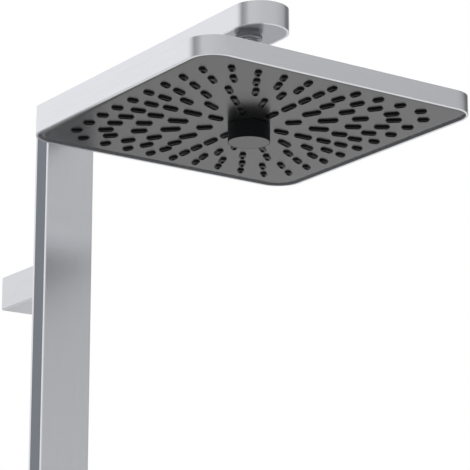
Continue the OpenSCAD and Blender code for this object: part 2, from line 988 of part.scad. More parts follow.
// Zone of a spherical shell between two heights
module ball_shell(inner_r, outer_r, low, high) {
    rotate_extrude()
        difference() {
            intersection() {
                circle(outer_r);
                translate([0, low])
                    square([outer_r + overrun, high - low]);
            }
            circle(inner_r);
        }
}

module upper_ball_liner() {
    color(white_plastic)
        translate([0, -head_reach, ball_z])
            ball_shell(liner_in_r, liner_out_r, liner_low, liner_high);
}

module lower_ball_liner() {
    color(soft_black)
        translate([0, -head_reach, ball_z])
            ball_shell(liner_in_r, liner_out_r, -liner_high, -liner_low);
}

module socket_nut() {
    cone_h = bell_h + 2 * overrun;
    color(bright_metal)
        translate([0, -head_reach, ball_z])
            difference() {
                rotate_extrude()
                    intersection() {
                        translate([0, -skirt_l])
                            square([bell_r, skirt_l + bell_h]);
                        translate([0, -bell_dome_drop])
                            circle(bell_dome_r);
                    }
                translate([0, 0, -skirt_l - overrun])
                    cylinder(r = thread_r + slip, h = skirt_l + overrun + slip);
                sphere(cavity_r);
                cylinder(r1 = 0, r2 = cone_h * tan(lip_angle), h = cone_h);
                for (i = [0:flute_count - 1])
                    rotate(360 * i / flute_count)
                        translate([bell_r + 0.6 * flute_r, 0, -skirt_l - overrun])
                            cylinder(r = flute_r, h = skirt_l + bell_h + 2 * overrun);
            }
}

socket_collar_gap = 0.2;

module socket_body() {
    collar_top_z = ball_z - skirt_l - socket_collar_gap;
    color(bright_metal)
        translate([0, -head_reach, 0])
            difference() {
                union() {
                    translate([0, 0, tray_top_z])
                        cylinder(r = socket_flange_r, h = socket_flange_t);
                    translate([0, 0, tray_top_z])
                        cylinder(r = bell_r, h = collar_top_z - tray_top_z);
                    translate([0, 0, tray_top_z])
                        cylinder(r = thread_r, h = ball_z - tray_top_z);
                }
                translate([0, 0, ball_z])
                    sphere(cavity_r);
                translate([0, 0, tray_top_z - overrun])
                    cylinder(r = socket_bore_r, h = ball_rise + head_t);
                translate([0, 0, tray_top_z])
                    rotate_extrude()
                        translate([socket_seal_r - slip, -overrun])
                            square([socket_seal_d + 2 * slip, overrun + socket_seal_d]);
                for (i = [0:socket_screw_count - 1])
                    rotate(360 * (i + 0.5) / socket_screw_count)
                        translate([socket_screw_ring_r, 0, housing_inner_z])
                            flat_screw_hole(m3_clear_r, m3_head_r, m3_head_h, bar_t);
            }
}

module socket_o_ring() {
    color(soft_black)
        translate([0, -head_reach, tray_top_z + socket_seal_d / 2])
            o_ring(socket_seal_r, socket_seal_d);
}

module socket_screws() {
    color(bright_metal)
        translate([0, -head_reach, housing_inner_z])
            for (i = [0:socket_screw_count - 1])
                rotate(360 * (i + 0.5) / socket_screw_count)
                    translate([socket_screw_ring_r, 0, 0])
                        flat_screw(m3_r, m3_head_r, m3_head_h, socket_flange_t + tray_skin_t + 1);
}

// Spray head

module head_housing() {
    r = head_corner_r;
    top_edge = 0.3;
    color(bright_metal)
        translate([0, -head_reach, rim_z])
            difference() {
                union() {
                    sweep_round_square(head_side, r)
                        polygon([
                            [0, 0], [r - rim_edge, 0],
                            [r, rim_edge], [r, head_t - top_edge],
                            [r - top_edge, head_t], [0, head_t]
                        ]);
                    translate([-(head_half - r), -(head_half - r), 0])
                        cube([head_side - 2 * r, head_side - 2 * r, head_t]);
                }
                translate([0, 0, -overrun])
                    linear_extrude(head_t - head_top_t + overrun)
                        rounded_rect(inner_side, inner_side, inner_corner_r);
                translate([0, 0, head_t - head_top_t - overrun])
                    cylinder(r = bell_r + fit_gap, h = head_top_t + 2 * overrun);
            }
}

module at_tray_screws() {
    for (side = [0:3], spot = tray_screw_spots_share)
        rotate(90 * side)
            translate([spot * tray_screw_reach, tray_screw_reach])
                children();
}

// The tray lies upside down on the nozzle mat: an outer and an inner zone, and a hub for the discs
module water_tray() {
    tray_h = tray_top_z - mat_top_z;
    inside_h = tray_h - tray_skin_t / 2;
    zone_side = zone_share * head_side;
    duct_l = zone_side / 2 / sin(duct_angle) - zone_wall;
    color(soft_black)
        translate([0, -head_reach, mat_top_z])
            difference() {
                union() {
                    difference() {
                        linear_extrude(tray_h)
                            rounded_rect(tray_side, tray_side, tray_corner_r);
                        translate([0, 0, -overrun])
                            linear_extrude(tray_h - tray_skin_t + overrun)
                                square(tray_side - 2 * tray_wall, center = true);
                    }
                    difference() {
                        linear_extrude(inside_h)
                            square(zone_side, center = true);
                        translate([0, 0, -overrun])
                            linear_extrude(tray_h)
                                square(zone_side - 2 * zone_wall, center = true);
                    }
                    tube(hub_r, hub_r - hub_wall, inside_h);
                    for (turn = [0, 180], s = [-1, 1])
                        rotate(duct_angle + turn)
                            translate([hub_r - hub_wall / 2, s * (duct_w + duct_wall) / 2 - duct_wall / 2, 0])
                                cube([duct_l - hub_r + hub_wall, duct_wall, inside_h]);
                    for (i = [0:socket_screw_count - 1])
                        rotate(360 * (i + 0.5) / socket_screw_count)
                            translate([socket_screw_ring_r, 0, mat_t])
                                cylinder(r = 1.6 * m3_r, h = inside_h - mat_t);
                }
                for (turn = [0, 180]) {
                    rotate(turn)
                        translate([hub_r - 2 * hub_wall, -hub_gate_w / 2, -overrun])
                            cube([3 * hub_wall, hub_gate_w, tray_h - tray_skin_t]);
                    rotate(duct_angle + turn) {
                        translate([hub_r - 2 * hub_wall, -hub_gate_w / 2, -overrun])
                            cube([3 * hub_wall, hub_gate_w, tray_h - tray_skin_t]);
                        translate([duct_l - zone_wall, -hub_gate_w / 2, -overrun])
                            cube([3 * zone_wall, hub_gate_w, tray_h - tray_skin_t]);
                    }
                }
                for (i = [0:disc_port_count - 1])
                    rotate(360 * (i + 0.5) / disc_port_count)
                        translate([hub_r - 2 * hub_wall, -fin_w / 2 - fit_gap, -overrun])
                            cube([3 * hub_wall / 2 + fin_reach / 2, fin_w + 2 * fit_gap, fin_h + overrun]);
                translate([0, 0, -overrun])
                    cylinder(r = plenum_r, h = tray_h + 2 * overrun);
                for (i = [0:socket_screw_count - 1])
                    rotate(360 * (i + 0.5) / socket_screw_count)
                        translate([socket_screw_ring_r, 0, mat_t + overrun])
                            cylinder(r = m3_r, h = tray_h);
                at_tray_screws()
                    translate([0, 0, -overrun])
                        cylinder(r = m25_clear_r, h = tray_h + 2 * overrun);
            }
}

module tray_screws() {
    color(bright_metal)
        translate([0, -head_reach, tray_top_z])
            at_tray_screws()
                pan_screw(m25_tap_r, m25_head_r, m25_head_h, tray_top_z - plate_top_z + plate_t / 2);
}

module nozzle_mat() {
    sheet_z = plate_top_z;
    color(soft_black)
        translate([0, -head_reach, 0])
            difference() {
                union() {
                    translate([0, 0, sheet_z])
                        linear_extrude(mat_t)
                            rounded_rect(mat_side, mat_side, tray_corner_r);
                    for (i = [0:len(ring_reach_shares) - 1])
                        at_ring_pads(i)
                            nozzle_pad(ring_length_shares[i] * head_half);
                }
                for (i = [0:len(ring_reach_shares) - 1])
                    at_ring_pads(i)
                        nozzle_holes(ring_length_shares[i] * head_half);
                at_tray_screws()
                    translate([0, 0, sheet_z - overrun])
                        cylinder(r = mat_boss_r + fit_gap, h = mat_t + 2 * overrun);
                translate([0, 0, sheet_z - overrun])
                    cylinder(r = spindle_hub_r + fit_gap, h = mat_t + 2 * overrun);
            }
}

// One silicone pad: a broad foot in the window, a raised lip and two round nozzle tips
module nozzle_pad(l) {
    foot_h = pad_h + plate_t + mat_t / 2;
    tip_r = lip_w / 2 + 0.25;
    translate([0, 0, face_z - pad_h])
        linear_extrude(foot_h)
            stadium(l, pad_w);
    translate([0, 0, face_z - lip_h])
        linear_extrude(lip_h)
            stadium(l - pad_w + lip_w, lip_w);
    for (s = [-1, 1])
        translate([s * (l - pad_w) / 2, 0, face_z - lip_h - 0.3])
            cylinder(r = tip_r, h = lip_h);
}

module nozzle_holes(l) {
    for (s = [-1, 1])
        translate([s * (l - pad_w) / 2, 0, face_z - lip_h - overrun])
            cylinder(d = nozzle_d, h = lip_h + plate_t + mat_t + 2 * overrun);
}

// Sloping rim of the spray plate, drawn as short flats along an arc
slope_steps = 6;
slope_arc_r = (slope_w * slope_w + slope_rise * slope_rise) / (2 * slope_rise);

function slope_point(x0, i) = let (x = slope_w * i / slope_steps)
    [x0 + x, slope_arc_r - sqrt(slope_arc_r * slope_arc_r - x * x)];

module spray_plate() {
    side = inner_side - 2 * fit_gap;
    r = inner_corner_r - fit_gap;
    color(face_grey)
        translate([0, -head_reach, face_z])
            difference() {
                union() {
                    sweep_round_square(side, r)
                        polygon(concat(
                            [[0, 0]],
                            [for (i = [0:slope_steps]) slope_point(r - slope_w, i)],
                            [[r, plate_t], [0, plate_t]]
                        ));
                    translate([-(side / 2 - r), -(side / 2 - r), 0])
                        cube([side - 2 * r, side - 2 * r, plate_t]);
                    at_tray_screws()
                        translate([0, 0, plate_t / 2])
                            cylinder(r = mat_boss_r, h = plate_t / 2 + mat_t);
                    translate([0, 0, plate_t / 2])
                        cylinder(r = spindle_hub_r, h = plate_t / 2 + mat_t);
                }
                for (i = [0:len(ring_reach_shares) - 1])
                    at_ring_pads(i)
                        translate([0, 0, -overrun])
                            linear_extrude(plate_t + 2 * overrun)
                                stadium(
                                    ring_length_shares[i] * head_half + 2 * pad_gap,
                                    pad_w + 2 * pad_gap
                                );
                at_tray_screws()
                    translate([0, 0, plate_t / 2])
                        cylinder(r = m25_tap_r, h = plate_t + mat_t);
                translate([0, 0, -overrun])
                    cylinder(r = spindle_r + spindle_clear, h = plate_t + mat_t + 2 * overrun);
            }
}

disc_top_z = tray_roof_z - disc_gap;
distributor_top_z = disc_top_z - disc_t - disc_gap;
fin_h = distributor_top_z - disc_t - mat_top_z;

// Fixed disc under the turning one; its four fins part the hub into chambers
module distributor_disc() {
    fin_l = hub_r - hub_wall + fin_reach - fit_gap;
    color(ceramic)
        translate([0, -head_reach, mat_top_z])
            difference() {
                union() {
                    translate([0, 0, fin_h])
                        cylinder(r = hub_r - hub_wall - fit_gap, h = disc_t);
                    for (i = [0:disc_port_count - 1])
                        rotate(360 * (i + 0.5) / disc_port_count)
                            translate([0, -fin_w / 2, 0])
                                cube([fin_l, fin_w, fin_h + fit_gap]);
                }
                translate([0, 0, -overrun])
                    cylinder(r = spindle_r + spindle_clear, h = fin_h + disc_t + 2 * overrun);
                for (i = [0:disc_port_count - 1])
                    rotate(360 * i / disc_port_count)
                        translate([disc_port_ring_r, 0, -overrun])
                            cylinder(r = disc_port_r, h = fin_h + disc_t + 2 * overrun);
            }
}

// Selector knob and what turns with it

module selector_knob() {
    knob_bottom = -knob_h;
    disc_seat = knob_bottom + end_disc_t;
    color(soft_black)
        translate([0, -head_reach, knob_top_z])
            difference() {
                union() {
                    difference() {
                        translate([0, 0, knob_bottom])
                            cylinder(r = knob_r, h = knob_h);
                        translate([0, 0, knob_bottom - overrun])
                            cylinder(r = knob_r - end_disc_rim, h = end_disc_t + overrun);
                        translate([0, 0, disc_seat - overrun])
                            cylinder(r = knob_r - knob_wall, h = knob_h - end_disc_t - knob_wall + overrun);
                    }
                    translate([0, 0, -knob_hub_h])
                        cylinder(r = knob_hub_r, h = knob_hub_h);
                }
                translate([0, 0, -knob_hub_h - overrun])
                    cylinder(r = spindle_r + slip, h = knob_hub_h + 2 * overrun);
                translate([0, 0, -glide_t])
                    cylinder(r = glide_r + fit_gap, h = glide_t + overrun);
            }
}

module knob_end_disc() {
    color(face_grey)
        translate([0, -head_reach, knob_top_z - knob_h])
            cylinder(r = knob_r - end_disc_rim - slip, h = end_disc_t);
}

module selector_spindle() {
    bottom_z = knob_top_z - knob_hub_h;
    top_z = disc_top_z;
    seal_z = face_z + plate_t / 2;
    color(brass)
        translate([0, -head_reach, 0])
            difference() {
                translate([0, 0, bottom_z])
                    cylinder(r = spindle_r, h = top_z - bottom_z);
                translate([0, 0, bottom_z - overrun])
                    cylinder(r = m3_tap_r, h = knob_hub_h + overrun);
                translate([0, 0, seal_z - seal_groove_w / 2])
                    tube(spindle_r + overrun, spindle_r - seal_d, seal_groove_w);
            }
}

module selector_disc() {
    color(ceramic)
        translate([0, -head_reach, disc_top_z - disc_t])
            difference() {
                cylinder(r = disc_r, h = disc_t);
                translate([0, 0, -overrun])
                    cylinder(r = spindle_r + slip, h = disc_t + 2 * overrun);
                for (i = [0:disc_port_count / 2 - 1])
                    rotate(720 * i / disc_port_count)
                        translate([disc_port_ring_r, 0, -overrun])
                            cylinder(r = disc_port_r, h = disc_t + 2 * overrun);
            }
}

module spindle_o_ring() {
    color(soft_black)
        translate([0, -head_reach, face_z + plate_t / 2])
            o_ring(spindle_r - seal_d, seal_d);
}

// Low-friction ring between knob and spray face
module knob_glide_ring() {
    color(white_plastic)
        translate([0, -head_reach, knob_top_z - glide_t])
            tube(glide_r, knob_hub_r, glide_t);
}

module knob_screw() {
    color(bright_metal)
        translate([0, -head_reach, knob_top_z - knob_hub_h])
            rotate([180, 0, 0])
                pan_screw(m3_tap_r, m3_head_r, m3_head_h, knob_hub_h - overrun);
}

column_profile();
column_front_cover();
column_rear_cover();
riser_tube();
riser_clips();
foot_cap();
foot_inlet();
foot_o_ring();
foot_screws();
inlet_filter();
corner_block();
corner_o_rings();
corner_screws();
arm_tray();
arm_underside_plate();
arm_plate_screws();
arm_rear_screws();
arm_water_tube();
outlet_body();
outlet_o_ring();
outlet_screws();
outlet_collar();
union_nut();
union_washer();
ball_stem();
flow_regulator();
upper_bracket();
lower_bracket();
upper_wall_plate();
lower_wall_plate();
bracket_column_screws();
bracket_set_screws();
upper_ball_liner();
lower_ball_liner();
socket_nut();
socket_body();
socket_o_ring();
socket_screws();
head_housing();
water_tray();
tray_screws();
nozzle_mat();
spray_plate();
distributor_disc();
selector_knob();
knob_end_disc();
selector_spindle();
selector_disc();
spindle_o_ring();
knob_glide_ring();
knob_screw();
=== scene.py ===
import json
import math

import bmesh
import bpy
from mathutils import Matrix, Vector


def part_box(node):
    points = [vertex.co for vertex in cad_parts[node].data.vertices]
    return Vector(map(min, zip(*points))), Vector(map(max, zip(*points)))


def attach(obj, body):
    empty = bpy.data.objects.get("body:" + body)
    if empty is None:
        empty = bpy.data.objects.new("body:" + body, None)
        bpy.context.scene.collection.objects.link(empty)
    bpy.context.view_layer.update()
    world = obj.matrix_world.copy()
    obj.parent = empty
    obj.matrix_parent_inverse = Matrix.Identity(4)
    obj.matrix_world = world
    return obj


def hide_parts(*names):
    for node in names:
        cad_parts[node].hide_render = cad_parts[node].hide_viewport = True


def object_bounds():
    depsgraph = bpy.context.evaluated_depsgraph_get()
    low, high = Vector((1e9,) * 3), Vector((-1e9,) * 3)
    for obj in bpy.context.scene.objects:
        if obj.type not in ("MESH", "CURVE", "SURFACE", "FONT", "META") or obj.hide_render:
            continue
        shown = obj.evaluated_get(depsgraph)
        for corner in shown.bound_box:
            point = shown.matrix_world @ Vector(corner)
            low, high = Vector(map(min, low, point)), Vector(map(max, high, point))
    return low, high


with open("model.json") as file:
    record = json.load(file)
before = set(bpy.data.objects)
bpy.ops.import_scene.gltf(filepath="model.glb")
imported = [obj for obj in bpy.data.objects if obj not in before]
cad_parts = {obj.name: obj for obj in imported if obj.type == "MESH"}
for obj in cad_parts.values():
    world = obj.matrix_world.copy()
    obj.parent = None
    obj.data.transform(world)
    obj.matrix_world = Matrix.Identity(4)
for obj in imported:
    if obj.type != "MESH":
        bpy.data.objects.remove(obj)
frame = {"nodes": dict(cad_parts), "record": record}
cad_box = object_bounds()
nodes = frame["nodes"]

# Studio camera: it stands low at the object's left, in the room, and looks up at the
# spray face.
CAMERA_PLACE = (-1.1183, -1.9900, -0.5348)
CAMERA_YAW = 0.6101
CAMERA_PITCH = 0.2592
CAMERA_LENS = 169.4
CAMERA_SENSOR = 36
CAMERA_NEAR = 0.05


def into_scene(name, data):
    """Puts a camera, lamp or mesh into the scene under this name."""
    thing = bpy.data.objects.new(name, data)
    bpy.context.scene.collection.objects.link(thing)
    return thing


camera_data = bpy.data.cameras.new("studio_camera")
camera_data.lens = CAMERA_LENS
camera_data.sensor_width = CAMERA_SENSOR
camera_data.clip_start = CAMERA_NEAR
camera = into_scene("studio_camera", camera_data)
camera.location = CAMERA_PLACE
camera.rotation_euler = (math.pi / 2 + CAMERA_PITCH, 0, -CAMERA_YAW)
bpy.context.scene.camera = camera
bpy.context.scene.view_settings.view_transform = "Standard"

# Studio floor: a pale matt sheet under the object. It has spots of painted shade that the
# camera doesn't see, and that show only where the glossy spray face mirrors them.
FLOOR_DROP = 0.12
FLOOR_Z = cad_box[0][2] - FLOOR_DROP
FLOOR_HALF = 6
FLOOR_GREY = 0.86
FLOOR_ROUGHNESS = 0.9
# Each painted shade spot's x and y, the two radii between which it fades, and its share of the
# grey.
FLOOR_PAINTED_SHADE_SPOTS = [(1.1, 3.0, 0.2, 1.2, 0.45), (1.6, -2.8, 0.4, 1.8, 0.1)]


def new_node(tree, kind, inputs=None, operation=None):
    """Adds a shader node and sets the inputs that are given by name or number."""
    made = tree.nodes.new("ShaderNode" + kind)
    if operation:
        made.operation = operation
    for key, value in (inputs or {}).items():
        made.inputs[key].default_value = value
    return made


def wire(tree, links):
    """Makes links, each given as a node, its output, the next node and its input."""
    for source, output, target, key in links:
        tree.links.new(source.outputs[output], target.inputs[key])


def floor_finish():
    """The matt grey of the floor, with painted shade in its spots for all rays but the camera's."""
    mat = bpy.data.materials.new("pale_floor")
    mat.use_nodes = True
    tree = mat.node_tree
    shader = tree.nodes["Principled BSDF"]
    shader.inputs["Roughness"].default_value = FLOOR_ROUGHNESS
    place = new_node(tree, "TexCoord")
    tone = new_node(tree, "Value")
    tone.outputs["Value"].default_value = FLOOR_GREY
    for x, y, inner, outer, share in FLOOR_PAINTED_SHADE_SPOTS:
        reach = new_node(tree, "VectorMath", {1: (x, y, FLOOR_Z)}, "DISTANCE")
        fade = new_node(tree, "MapRange", {"From Min": inner, "From Max": outer, "To Min": share})
        fade.interpolation_type = "SMOOTHSTEP"
        dimmed = new_node(tree, "Math", operation="MULTIPLY")
        wire(tree, [(place, "Object", reach, 0), (reach, "Value", fade, "Value"),
                    (tone, "Value", dimmed, 0), (fade, "Result", dimmed, 1)])
        tone = dimmed
    ray = new_node(tree, "LightPath")
    choice = new_node(tree, "Mix", {"B": FLOOR_GREY})
    wire(tree, [(ray, "Is Camera Ray", choice, "Factor"), (tone, "Value", choice, "A"),
                (choice, "Result", shader, "Base Color")])
    return mat


floor_bm = bmesh.new()
bmesh.ops.create_grid(floor_bm, x_segments=1, y_segments=1, size=FLOOR_HALF)
bmesh.ops.translate(floor_bm, verts=floor_bm.verts, vec=(0, 0, FLOOR_Z))
floor_mesh = bpy.data.meshes.new("studio_floor")
floor_bm.to_mesh(floor_mesh)
floor_bm.free()
floor_mesh.materials.append(floor_finish())
studio_floor = into_scene("studio_floor", floor_mesh)

# Surround: a white backdrop to the camera. To the metal it is grey flags of different
# depth all round the object, whose edges draw the dark strips on what is glossy.
WHITE = (1, 1, 1, 1)
# Greys by compass angle, as a share of the full turn from behind the object round its
# right side, the camera side and its left side, and back to behind it.
SURROUND_GREYS = [(0.0, 0.95), (0.10, 0.9), (0.16, 0.5), (0.205, 0.16), (0.25, 0.2),
                  (0.31, 0.46), (0.36, 0.53), (0.43, 0.60), (0.55, 0.61), (0.66, 0.66),
                  (0.71, 0.66), (0.765, 0.42), (0.80, 0.30), (0.84, 0.72), (0.88, 0.95),
                  (1.0, 0.95)]
SURROUND_BLUE = 1.01
# Share of that grey by height on the right side, where a soft band dims the column's front,
# and how far to the right a direction leans where the band has its full depth.
BAND_SHARES = [(0.0, 1.0), (0.14, 1.0), (0.2, 0.62), (0.225, 0.62), (0.245, 1.0), (1.0, 1.0)]
BAND_SIDE = 0.3
# Places of a Mix node's colour sockets, because its other sockets bear the same names.
MIX_A = 6
MIX_B = 7
MIX_RESULT = 2


def grey_ramp(tree, stops, blue=1):
    """An eased ramp through greys that are given from place 0 to place 1."""
    ramp = new_node(tree, "ValToRGB")
    ramp.color_ramp.interpolation = "EASE"
    marks = ramp.color_ramp.elements
    for place, grey in stops[1:-1]:
        marks.new(place)
    for mark, (place, grey) in zip(marks, stops):
        mark.color = (grey, grey, grey * blue, 1)
    return ramp


def surround_finish(tree):
    """Lights the object with the greys and the band, and shows the camera plain white."""
    tree.nodes.clear()
    direction = new_node(tree, "TexCoord")
    split = new_node(tree, "SeparateXYZ")
    compass = new_node(tree, "Math", operation="ARCTAN2")
    turn = new_node(tree, "MapRange", {"From Min": 0, "From Max": 2 * math.pi})
    turn.clamp = False
    wrap = new_node(tree, "Math", operation="FRACT")
    greys = grey_ramp(tree, SURROUND_GREYS, SURROUND_BLUE)
    band = grey_ramp(tree, BAND_SHARES)
    band_side = new_node(tree, "MapRange", {"From Max": BAND_SIDE})
    band_side.interpolation_type = "SMOOTHSTEP"
    banded = new_node(tree, "Mix")
    banded.data_type = "RGBA"
    banded.blend_type = "MULTIPLY"
    lighting = new_node(tree, "Background")
    seen = new_node(tree, "Background", {"Color": WHITE})
    ray = new_node(tree, "LightPath")
    choice = new_node(tree, "MixShader")
    out = new_node(tree, "OutputWorld")
    wire(tree, [(direction, "Generated", split, "Vector"),
                (split, "X", compass, 0), (split, "Y", compass, 1),
                (compass, "Value", turn, "Value"), (turn, "Result", wrap, 0),
                (wrap, "Value", greys, "Fac"), (split, "Z", band, "Fac"),
                (split, "X", band_side, "Value"), (band_side, "Result", banded, "Factor"),
                (greys, "Color", banded, MIX_A), (band, "Color", banded, MIX_B),
                (banded, MIX_RESULT, lighting, "Color"), (ray, "Is Camera Ray", choice, "Fac"),
                (lighting, "Background", choice, 1), (seen, "Background", choice, 2),
                (choice, "Shader", out, "Surface")])


surround = bpy.data.worlds.new("studio_surround")
surround.use_nodes = True
surround_finish(surround.node_tree)
bpy.context.scene.world = surround

# Floor wash: one large soft lamp over the floor at the object's right. It brightens what
# the spray face mirrors there.
LAMP_PLACE = (1.2, 0.3, 1.9)
LAMP_AIM = (1.1, 0.4, FLOOR_Z)
LAMP_SIDE = 2.6
LAMP_POWER = 46

lamp_data = bpy.data.lights.new("floor_wash", "AREA")
lamp_data.shape = "RECTANGLE"
lamp_data.size = LAMP_SIDE
lamp_data.size_y = LAMP_SIDE
lamp_data.energy = LAMP_POWER
lamp = into_scene("floor_wash", lamp_data)
lamp.location = LAMP_PLACE
lamp.rotation_euler = (Vector(LAMP_AIM) - Vector(LAMP_PLACE)).to_track_quat("-Z", "Y").to_euler()

# Column: a dark anodised aluminium extrusion between two bright satin strips. The front
# strip snaps over the open channel, the bracket screws clamp the rear one, and a cap
# closes the foot. All are linished along their length.
SILVER = (0.785, 0.795, 0.825)
ANODISED = (0.180, 0.197, 0.222)
# How fast the grain changes along X, Y and Z, for each metre, and how high it stands.
ALONG_Z = (1600, 1600, 20)
GRAIN_RELIEF = 0.00005
# In degrees: what is shaded smooth, what is rounded off, and what counts as flat.
SMOOTH_ANGLE = 35
EDGE_ANGLE = 32
FLAT_ANGLE = 0.5
SAME_POINT = 1e-6
GRAIN_SOCKETS = [("Vector", "INPUT", "NodeSocketVector"), ("Color", "INPUT", "NodeSocketColor"),
                 ("Roughness", "INPUT", "NodeSocketFloat"), ("Depth", "INPUT", "NodeSocketFloat"),
                 ("Color", "OUTPUT", "NodeSocketColor"), ("Roughness", "OUTPUT", "NodeSocketFloat"),
                 ("Normal", "OUTPUT", "NodeSocketVector")]


def grain_group(name, grain, grain_range, shade_range, cloud, stray):
    """Fine grain of a surface: it changes the shade and the roughness and adds a relief.

    grain and cloud give the scale and detail of a noise. The grain's range becomes the
    range of the shade, and the cloud makes the roughness stray up and down.
    """
    group = bpy.data.node_groups.new(name, "ShaderNodeTree")
    for socket, side, kind in GRAIN_SOCKETS:
        group.interface.new_socket(socket, in_out=side, socket_type=kind)
    given = group.nodes.new("NodeGroupInput")
    put = group.nodes.new("NodeGroupOutput")
    lines = new_node(group, "TexNoise", {"Scale": grain[0], "Detail": grain[1]})
    clouds = new_node(group, "TexNoise", {"Scale": cloud[0], "Detail": cloud[1]})
    shade = new_node(group, "MapRange", {"From Min": grain_range[0], "From Max": grain_range[1],
                                         "To Min": shade_range[0], "To Max": shade_range[1]})
    shaded = new_node(group, "VectorMath", operation="SCALE")
    change = new_node(group, "MapRange", {"To Min": -stray, "To Max": stray})
    changed = new_node(group, "Math", operation="ADD")
    bump = new_node(group, "Bump", {"Distance": GRAIN_RELIEF})
    wire(group, [(given, "Vector", lines, "Vector"), (given, "Vector", clouds, "Vector"),
                 (given, "Color", shaded, 0), (lines, "Fac", shade, "Value"),
                 (shade, "Result", shaded, "Scale"), (shaded, "Vector", put, "Color"),
                 (given, "Roughness", changed, 0), (clouds, "Fac", change, "Value"),
                 (change, "Result", changed, 1), (changed, "Value", put, "Roughness"),
                 (given, "Depth", bump, "Strength"), (lines, "Fac", bump, "Height"),
                 (bump, "Normal", put, "Normal")])
    return group


def grained(name, group, color, roughness, depth, stretch=(1, 1, 1)):
    """A material whose colour, roughness and relief come from a grain group."""
    mat = bpy.data.materials.new(name)
    mat.use_nodes = True
    tree = mat.node_tree
    shader = tree.nodes["Principled BSDF"]
    place = new_node(tree, "TexCoord")
    run = new_node(tree, "Mapping", {"Scale": stretch})
    grain = new_node(tree, "Group")
    grain.node_tree = group
    grain.inputs["Color"].default_value = (*color, 1)
    grain.inputs["Roughness"].default_value = roughness
    grain.inputs["Depth"].default_value = depth
    wire(tree, [(place, "Object", run, "Vector"), (run, "Vector", grain, "Vector"),
                (grain, "Color", shader, "Base Color"), (grain, "Normal", shader, "Normal"),
                (grain, "Roughness", shader, "Roughness")])
    return mat, shader


satin_grain = grain_group("satin_grain", grain=(1.0, 4.0), grain_range=(0.3, 0.7),
                          shade_range=(0.975, 1.02), cloud=(0.03, 2.0), stray=0.04)


def satin_metal(name, color, roughness, lines_per_m, depth=0.25):
    """A linished or turned metal, its grain drawn out into lines."""
    mat, shader = grained(name, satin_grain, color, roughness, depth, lines_per_m)
    shader.inputs["Metallic"].default_value = 1.0
    return mat


def dress(names, mat):
    """Gives CAD nodes their finish; their shape stays."""
    for name in names:
        mesh = nodes[name].data
        mesh.materials.clear()
        mesh.materials.append(mat)


def merged_copy(node):
    """A clean bmesh of a CAD node: corners merged and flat pairs of triangles joined."""
    bm = bmesh.new()
    bm.from_mesh(nodes[node].data)
    bmesh.ops.remove_doubles(bm, verts=bm.verts, dist=SAME_POINT)
    bmesh.ops.join_triangles(bm, faces=bm.faces, angle_face_threshold=math.radians(FLAT_ANGLE),
                             angle_shape_threshold=math.pi)
    return bm


def finish_piece(name, bm, mat, body, replaced=(), smooth_below=SMOOTH_ANGLE):
    """Turns a bmesh into a piece that rides on a body and stands for CAD nodes."""
    for face in bm.faces:
        face.smooth = True
    mesh = bpy.data.meshes.new(name)
    bm.to_mesh(mesh)
    bm.free()
    if "custom_normal" in mesh.attributes:
        mesh.attributes.remove(mesh.attributes["custom_normal"])
    mesh.set_sharp_from_angle(angle=math.radians(smooth_below))
    mesh.materials.append(mat)
    piece = into_scene(name, mesh)
    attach(piece, body)
    for node in replaced:
        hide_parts(node)
    return piece


def rounded_edges(piece, radius, steps):
    """Rounds the sharp edges of a piece by a small radius."""
    edge = piece.modifiers.new("edge_round", "BEVEL")
    edge.width = radius
    edge.segments = steps
    edge.limit_method = "ANGLE"
    edge.angle_limit = math.radians(EDGE_ANGLE)
    edge.use_clamp_overlap = False
    edge.harden_normals = True


def softened(node, mat, body, radius, steps=2):
    """Stands for a CAD node and has the same shape with its sharp edges rounded off."""
    piece = finish_piece(node + "_finished", merged_copy(node), mat, body, [node], EDGE_ANGLE)
    rounded_edges(piece, radius, steps)


cover_silver = satin_metal("column_cover_silver", SILVER, roughness=0.26, lines_per_m=ALONG_Z)
profile_grey = satin_metal("column_profile_grey", ANODISED, roughness=0.33, lines_per_m=ALONG_Z)
softened("column_front_cover", cover_silver, "column", radius=0.0002, steps=3)
softened("column_rear_cover", cover_silver, "column", radius=0.0002, steps=3)
softened("column_profile", profile_grey, "column", radius=0.00025)
softened("foot_cap", cover_silver, "column", radius=0.0005, steps=3)

# Arm: an aluminium tray, open downwards, with a flush plate screwed in below. The round
# end follows the width of the bar. Both are linished along the arm, the plate finer. The
# plate's silver is darkened with painted shade, where the head below shades the underside.
ALONG_Y = (1600, 20, 1600)
# The plate's silver is darker than the tray's: painted shade from the head below it.
PLATE_PAINTED_SHADE_SILVER = (0.385, 0.39, 0.41)
arm_silver = satin_metal("arm_silver", SILVER, roughness=0.2, lines_per_m=ALONG_Y)
plate_painted_shade_silver = satin_metal("arm_plate_painted_shade_silver", PLATE_PAINTED_SHADE_SILVER, roughness=0.2,
                           lines_per_m=ALONG_Y, depth=0.1)
softened("arm_tray", arm_silver, "column", radius=0.00012)
softened("arm_underside_plate", plate_painted_shade_silver, "column", radius=0.0001)

# Wall brackets: hollow square sleeves of linished aluminium over plates that are screwed
# to the wall; a set screw in the side locks each one.
SOFT_SILVER = (0.70, 0.71, 0.735)
bracket_silver = satin_metal("bracket_silver", SOFT_SILVER, roughness=0.27, lines_per_m=ALONG_Y)
softened("upper_bracket", bracket_silver, "column", radius=0.0003)
softened("lower_bracket", bracket_silver, "column", radius=0.0003)
dress(["upper_wall_plate", "lower_wall_plate"], bracket_silver)
